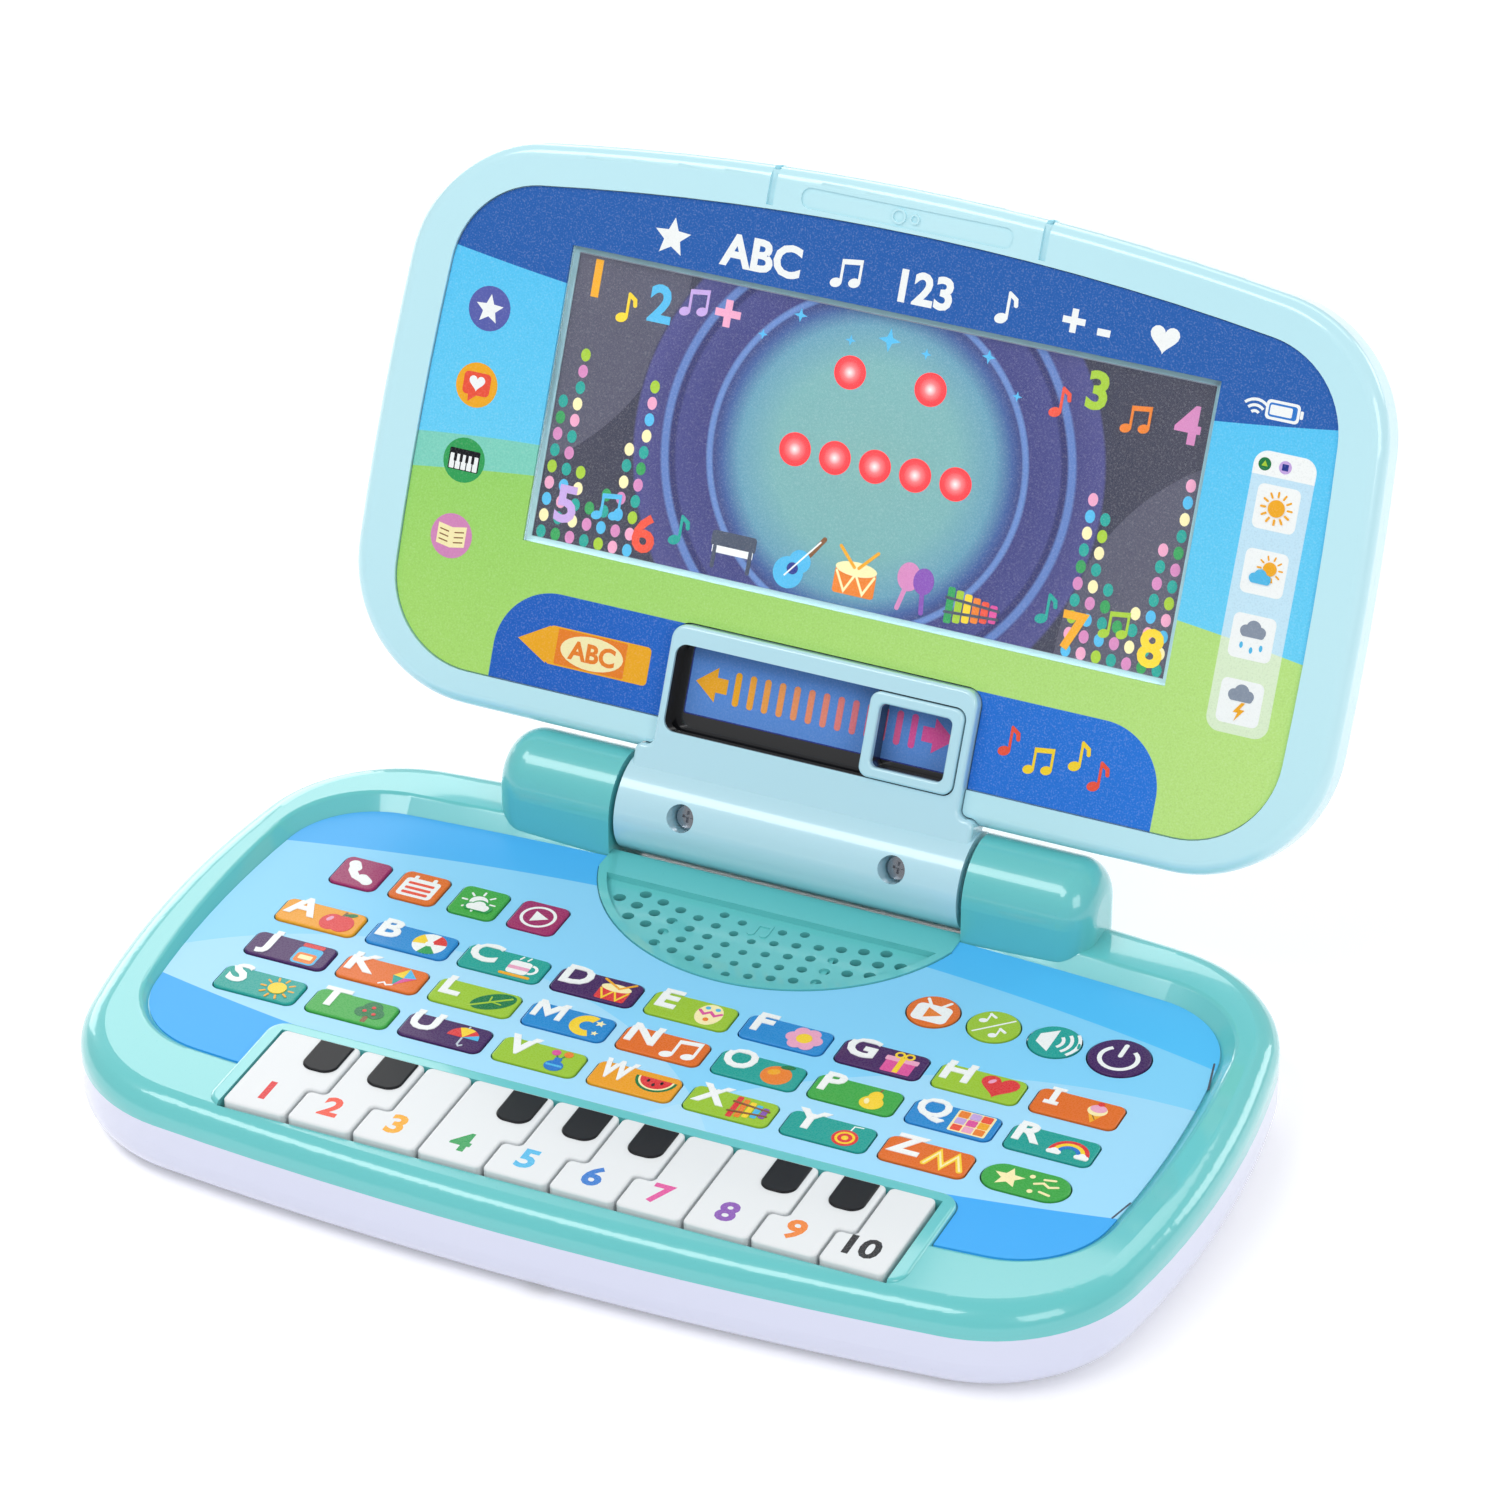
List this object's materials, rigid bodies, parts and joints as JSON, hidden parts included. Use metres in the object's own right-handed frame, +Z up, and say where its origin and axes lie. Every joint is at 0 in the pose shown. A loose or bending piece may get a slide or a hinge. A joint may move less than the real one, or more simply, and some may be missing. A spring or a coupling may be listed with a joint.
{
  "type": "toy laptop computer",
  "caption": "Clamshell toy laptop with rounded shell, piano keys, letter buttons, speaker grille and a hinged lid with a picture window, lamp matrix and sliding swiper.",
  "frame": {"origin": "middle of the base's footprint on the table", "axes": "+X to the right of the person who plays, +Y away from them towards the hinge, +Z up"},
  "size_m": [0.28, 0.2348, 0.183],
  "materials": {
    "tray_white": "glossy moulded plastic",
    "deck_teal": "glossy moulded plastic",
    "overlay_print": "glossy printed film",
    "lid_aqua": "glossy moulded plastic",
    "bar_blue": "glossy moulded plastic",
    "art_print": "matt printed sheet",
    "display_print": "printed card with lamps behind it",
    "window_clear": "clear plastic sheet",
    "key_white": "glossy white with black inlays",
    "board_green": "circuit board",
    "cell_metal": "sleeved metal cans",
    "steel": "zinc-plated",
    "button_amber": "domed glossy",
    "button_blue": "domed glossy",
    "button_teal": "domed glossy",
    "button_purple": "domed glossy",
    "button_lime": "domed glossy",
    "button_orange": "domed glossy",
    "button_green": "domed glossy",
    "button_plum": "domed glossy"
  },
  "bodies": {
    "base": {"base_tray": "tray_white", "base_deck": "deck_teal", "keypad_overlay": "overlay_print", "sound_board": "board_green", "battery_pack": "cell_metal", "battery_door": "tray_white", "base_fixings": "steel"},
    "lid": {"lid_frame": "lid_aqua", "lid_back": "lid_aqua", "lid_art_panel": "art_print", "screen_window": "window_clear", "display_unit": "display_print", "hinge_bar": "bar_blue", "lid_screws": "steel"},
    "swiper": {"swiper": "bar_blue"},
    "letter_button_a": {"letter_button_a": "button_amber"},
    "letter_button_b": {"letter_button_b": "button_blue"},
    "letter_button_c": {"letter_button_c": "button_teal"},
    "letter_button_d": {"letter_button_d": "button_purple"},
    "letter_button_e": {"letter_button_e": "button_lime"},
    "letter_button_f": {"letter_button_f": "button_blue"},
    "letter_button_g": {"letter_button_g": "button_purple"},
    "letter_button_h": {"letter_button_h": "button_lime"},
    "letter_button_i": {"letter_button_i": "button_orange"},
    "letter_button_j": {"letter_button_j": "button_purple"},
    "letter_button_k": {"letter_button_k": "button_orange"},
    "letter_button_l": {"letter_button_l": "button_lime"},
    "letter_button_m": {"letter_button_m": "button_blue"},
    "letter_button_n": {"letter_button_n": "button_orange"},
    "letter_button_o": {"letter_button_o": "button_teal"},
    "letter_button_p": {"letter_button_p": "button_green"},
    "letter_button_q": {"letter_button_q": "button_blue"},
    "letter_button_r": {"letter_button_r": "button_teal"},
    "letter_button_s": {"letter_button_s": "button_teal"},
    "letter_button_t": {"letter_button_t": "button_green"},
    "letter_button_u": {"letter_button_u": "button_purple"},
    "letter_button_v": {"letter_button_v": "button_lime"},
    "letter_button_w": {"letter_button_w": "button_amber"},
    "letter_button_x": {"letter_button_x": "button_lime"},
    "letter_button_y": {"letter_button_y": "button_teal"},
    "letter_button_z": {"letter_button_z": "button_orange"},
    "effects_button": {"effects_button": "button_green"},
    "play_button": {"play_button": "button_orange"},
    "rhythm_button": {"rhythm_button": "button_lime"},
    "volume_button": {"volume_button": "button_teal"},
    "power_button": {"power_button": "button_purple"},
    "phone_button": {"phone_button": "button_plum"},
    "calendar_button": {"calendar_button": "button_orange"},
    "weather_button": {"weather_button": "button_green"},
    "video_button": {"video_button": "button_plum"},
    "piano_key_01": {"piano_key_01": "key_white"},
    "piano_key_02": {"piano_key_02": "key_white"},
    "piano_key_03": {"piano_key_03": "key_white"},
    "piano_key_04": {"piano_key_04": "key_white"},
    "piano_key_05": {"piano_key_05": "key_white"},
    "piano_key_06": {"piano_key_06": "key_white"},
    "piano_key_07": {"piano_key_07": "key_white"},
    "piano_key_08": {"piano_key_08": "key_white"},
    "piano_key_09": {"piano_key_09": "key_white"},
    "piano_key_10": {"piano_key_10": "key_white"}
  },
  "joints": [
    {"name": "lid_hinge", "type": "hinge", "parent": "base", "child": "lid", "pos_m": [0, 0.07408, 0.0338], "axis": [1, 0, 0], "range_deg": [0, 115]},
    {"name": "swiper_slide", "type": "slide", "parent": "lid", "child": "swiper", "axis": [1, 0, 0], "range_m": [-0.0524, 0]},
    {"name": "letter_button_a_press", "type": "slide", "parent": "base", "child": "letter_button_a", "axis": [0, 0, -1], "range_m": [0, 0.0008], "stiffness_N_per_m": 200, "springref_m": -0.0005},
    {"name": "letter_button_b_press", "type": "slide", "parent": "base", "child": "letter_button_b", "axis": [0, 0, -1], "range_m": [0, 0.0008], "stiffness_N_per_m": 200, "springref_m": -0.0005},
    {"name": "letter_button_c_press", "type": "slide", "parent": "base", "child": "letter_button_c", "axis": [0, 0, -1], "range_m": [0, 0.0008], "stiffness_N_per_m": 200, "springref_m": -0.0005},
    {"name": "letter_button_d_press", "type": "slide", "parent": "base", "child": "letter_button_d", "axis": [0, 0, -1], "range_m": [0, 0.0008], "stiffness_N_per_m": 200, "springref_m": -0.0005},
    {"name": "letter_button_e_press", "type": "slide", "parent": "base", "child": "letter_button_e", "axis": [0, 0, -1], "range_m": [0, 0.0008], "stiffness_N_per_m": 200, "springref_m": -0.0005},
    {"name": "letter_button_f_press", "type": "slide", "parent": "base", "child": "letter_button_f", "axis": [0, 0, -1], "range_m": [0, 0.0008], "stiffness_N_per_m": 200, "springref_m": -0.0005},
    {"name": "letter_button_g_press", "type": "slide", "parent": "base", "child": "letter_button_g", "axis": [0, 0, -1], "range_m": [0, 0.0008], "stiffness_N_per_m": 200, "springref_m": -0.0005},
    {"name": "letter_button_h_press", "type": "slide", "parent": "base", "child": "letter_button_h", "axis": [0, 0, -1], "range_m": [0, 0.0008], "stiffness_N_per_m": 200, "springref_m": -0.0005},
    {"name": "letter_button_i_press", "type": "slide", "parent": "base", "child": "letter_button_i", "axis": [0, 0, -1], "range_m": [0, 0.0008], "stiffness_N_per_m": 200, "springref_m": -0.0005},
    {"name": "letter_button_j_press", "type": "slide", "parent": "base", "child": "letter_button_j", "axis": [0, 0, -1], "range_m": [0, 0.0008], "stiffness_N_per_m": 200, "springref_m": -0.0005},
    {"name": "letter_button_k_press", "type": "slide", "parent": "base", "child": "letter_button_k", "axis": [0, 0, -1], "range_m": [0, 0.0008], "stiffness_N_per_m": 200, "springref_m": -0.0005},
    {"name": "letter_button_l_press", "type": "slide", "parent": "base", "child": "letter_button_l", "axis": [0, 0, -1], "range_m": [0, 0.0008], "stiffness_N_per_m": 200, "springref_m": -0.0005},
    {"name": "letter_button_m_press", "type": "slide", "parent": "base", "child": "letter_button_m", "axis": [0, 0, -1], "range_m": [0, 0.0008], "stiffness_N_per_m": 200, "springref_m": -0.0005},
    {"name": "letter_button_n_press", "type": "slide", "parent": "base", "child": "letter_button_n", "axis": [0, 0, -1], "range_m": [0, 0.0008], "stiffness_N_per_m": 200, "springref_m": -0.0005},
    {"name": "letter_button_o_press", "type": "slide", "parent": "base", "child": "letter_button_o", "axis": [0, 0, -1], "range_m": [0, 0.0008], "stiffness_N_per_m": 200, "springref_m": -0.0005},
    {"name": "letter_button_p_press", "type": "slide", "parent": "base", "child": "letter_button_p", "axis": [0, 0, -1], "range_m": [0, 0.0008], "stiffness_N_per_m": 200, "springref_m": -0.0005},
    {"name": "letter_button_q_press", "type": "slide", "parent": "base", "child": "letter_button_q", "axis": [0, 0, -1], "range_m": [0, 0.0008], "stiffness_N_per_m": 200, "springref_m": -0.0005},
    {"name": "letter_button_r_press", "type": "slide", "parent": "base", "child": "letter_button_r", "axis": [0, 0, -1], "range_m": [0, 0.0008], "stiffness_N_per_m": 200, "springref_m": -0.0005},
    {"name": "letter_button_s_press", "type": "slide", "parent": "base", "child": "letter_button_s", "axis": [0, 0, -1], "range_m": [0, 0.0008], "stiffness_N_per_m": 200, "springref_m": -0.0005},
    {"name": "letter_button_t_press", "type": "slide", "parent": "base", "child": "letter_button_t", "axis": [0, 0, -1], "range_m": [0, 0.0008], "stiffness_N_per_m": 200, "springref_m": -0.0005},
    {"name": "letter_button_u_press", "type": "slide", "parent": "base", "child": "letter_button_u", "axis": [0, 0, -1], "range_m": [0, 0.0008], "stiffness_N_per_m": 200, "springref_m": -0.0005},
    {"name": "letter_button_v_press", "type": "slide", "parent": "base", "child": "letter_button_v", "axis": [0, 0, -1], "range_m": [0, 0.0008], "stiffness_N_per_m": 200, "springref_m": -0.0005},
    {"name": "letter_button_w_press", "type": "slide", "parent": "base", "child": "letter_button_w", "axis": [0, 0, -1], "range_m": [0, 0.0008], "stiffness_N_per_m": 200, "springref_m": -0.0005},
    {"name": "letter_button_x_press", "type": "slide", "parent": "base", "child": "letter_button_x", "axis": [0, 0, -1], "range_m": [0, 0.0008], "stiffness_N_per_m": 200, "springref_m": -0.0005},
    {"name": "letter_button_y_press", "type": "slide", "parent": "base", "child": "letter_button_y", "axis": [0, 0, -1], "range_m": [0, 0.0008], "stiffness_N_per_m": 200, "springref_m": -0.0005},
    {"name": "letter_button_z_press", "type": "slide", "parent": "base", "child": "letter_button_z", "axis": [0, 0, -1], "range_m": [0, 0.0008], "stiffness_N_per_m": 200, "springref_m": -0.0005},
    {"name": "effects_button_press", "type": "slide", "parent": "base", "child": "effects_button", "axis": [0, 0, -1], "range_m": [0, 0.0008], "stiffness_N_per_m": 200, "springref_m": -0.0005},
    {"name": "play_button_press", "type": "slide", "parent": "base", "child": "play_button", "axis": [0, 0, -1], "range_m": [0, 0.0008], "stiffness_N_per_m": 200, "springref_m": -0.0005},
    {"name": "rhythm_button_press", "type": "slide", "parent": "base", "child": "rhythm_button", "axis": [0, 0, -1], "range_m": [0, 0.0008], "stiffness_N_per_m": 200, "springref_m": -0.0005},
    {"name": "volume_button_press", "type": "slide", "parent": "base", "child": "volume_button", "axis": [0, 0, -1], "range_m": [0, 0.0008], "stiffness_N_per_m": 200, "springref_m": -0.0005},
    {"name": "power_button_press", "type": "slide", "parent": "base", "child": "power_button", "axis": [0, 0, -1], "range_m": [0, 0.0008], "stiffness_N_per_m": 200, "springref_m": -0.0005},
    {"name": "phone_button_press", "type": "slide", "parent": "base", "child": "phone_button", "axis": [0, 0, -1], "range_m": [0, 0.0008], "stiffness_N_per_m": 200, "springref_m": -0.0005},
    {"name": "calendar_button_press", "type": "slide", "parent": "base", "child": "calendar_button", "axis": [0, 0, -1], "range_m": [0, 0.0008], "stiffness_N_per_m": 200, "springref_m": -0.0005},
    {"name": "weather_button_press", "type": "slide", "parent": "base", "child": "weather_button", "axis": [0, 0, -1], "range_m": [0, 0.0008], "stiffness_N_per_m": 200, "springref_m": -0.0005},
    {"name": "video_button_press", "type": "slide", "parent": "base", "child": "video_button", "axis": [0, 0, -1], "range_m": [0, 0.0008], "stiffness_N_per_m": 200, "springref_m": -0.0005},
    {"name": "piano_key_01_turn", "type": "hinge", "parent": "base", "child": "piano_key_01", "pos_m": [0, -0.04512, 0.0209], "axis": [1, 0, 0], "range_deg": [0, 3.5], "stiffness_Nm_per_rad": 0.5, "springref_deg": -1.15},
    {"name": "piano_key_02_turn", "type": "hinge", "parent": "base", "child": "piano_key_02", "pos_m": [0, -0.04512, 0.0209], "axis": [1, 0, 0], "range_deg": [0, 3.5], "stiffness_Nm_per_rad": 0.5, "springref_deg": -1.15},
    {"name": "piano_key_03_turn", "type": "hinge", "parent": "base", "child": "piano_key_03", "pos_m": [0, -0.04512, 0.0209], "axis": [1, 0, 0], "range_deg": [0, 3.5], "stiffness_Nm_per_rad": 0.5, "springref_deg": -1.15},
    {"name": "piano_key_04_turn", "type": "hinge", "parent": "base", "child": "piano_key_04", "pos_m": [0, -0.04512, 0.0209], "axis": [1, 0, 0], "range_deg": [0, 3.5], "stiffness_Nm_per_rad": 0.5, "springref_deg": -1.15},
    {"name": "piano_key_05_turn", "type": "hinge", "parent": "base", "child": "piano_key_05", "pos_m": [0, -0.04512, 0.0209], "axis": [1, 0, 0], "range_deg": [0, 3.5], "stiffness_Nm_per_rad": 0.5, "springref_deg": -1.15},
    {"name": "piano_key_06_turn", "type": "hinge", "parent": "base", "child": "piano_key_06", "pos_m": [0, -0.04512, 0.0209], "axis": [1, 0, 0], "range_deg": [0, 3.5], "stiffness_Nm_per_rad": 0.5, "springref_deg": -1.15},
    {"name": "piano_key_07_turn", "type": "hinge", "parent": "base", "child": "piano_key_07", "pos_m": [0, -0.04512, 0.0209], "axis": [1, 0, 0], "range_deg": [0, 3.5], "stiffness_Nm_per_rad": 0.5, "springref_deg": -1.15},
    {"name": "piano_key_08_turn", "type": "hinge", "parent": "base", "child": "piano_key_08", "pos_m": [0, -0.04512, 0.0209], "axis": [1, 0, 0], "range_deg": [0, 3.5], "stiffness_Nm_per_rad": 0.5, "springref_deg": -1.15},
    {"name": "piano_key_09_turn", "type": "hinge", "parent": "base", "child": "piano_key_09", "pos_m": [0, -0.04512, 0.0209], "axis": [1, 0, 0], "range_deg": [0, 3.5], "stiffness_Nm_per_rad": 0.5, "springref_deg": -1.15},
    {"name": "piano_key_10_turn", "type": "hinge", "parent": "base", "child": "piano_key_10", "pos_m": [0, -0.04512, 0.0209], "axis": [1, 0, 0], "range_deg": [0, 3.5], "stiffness_Nm_per_rad": 0.5, "springref_deg": -1.15}
  ]
}
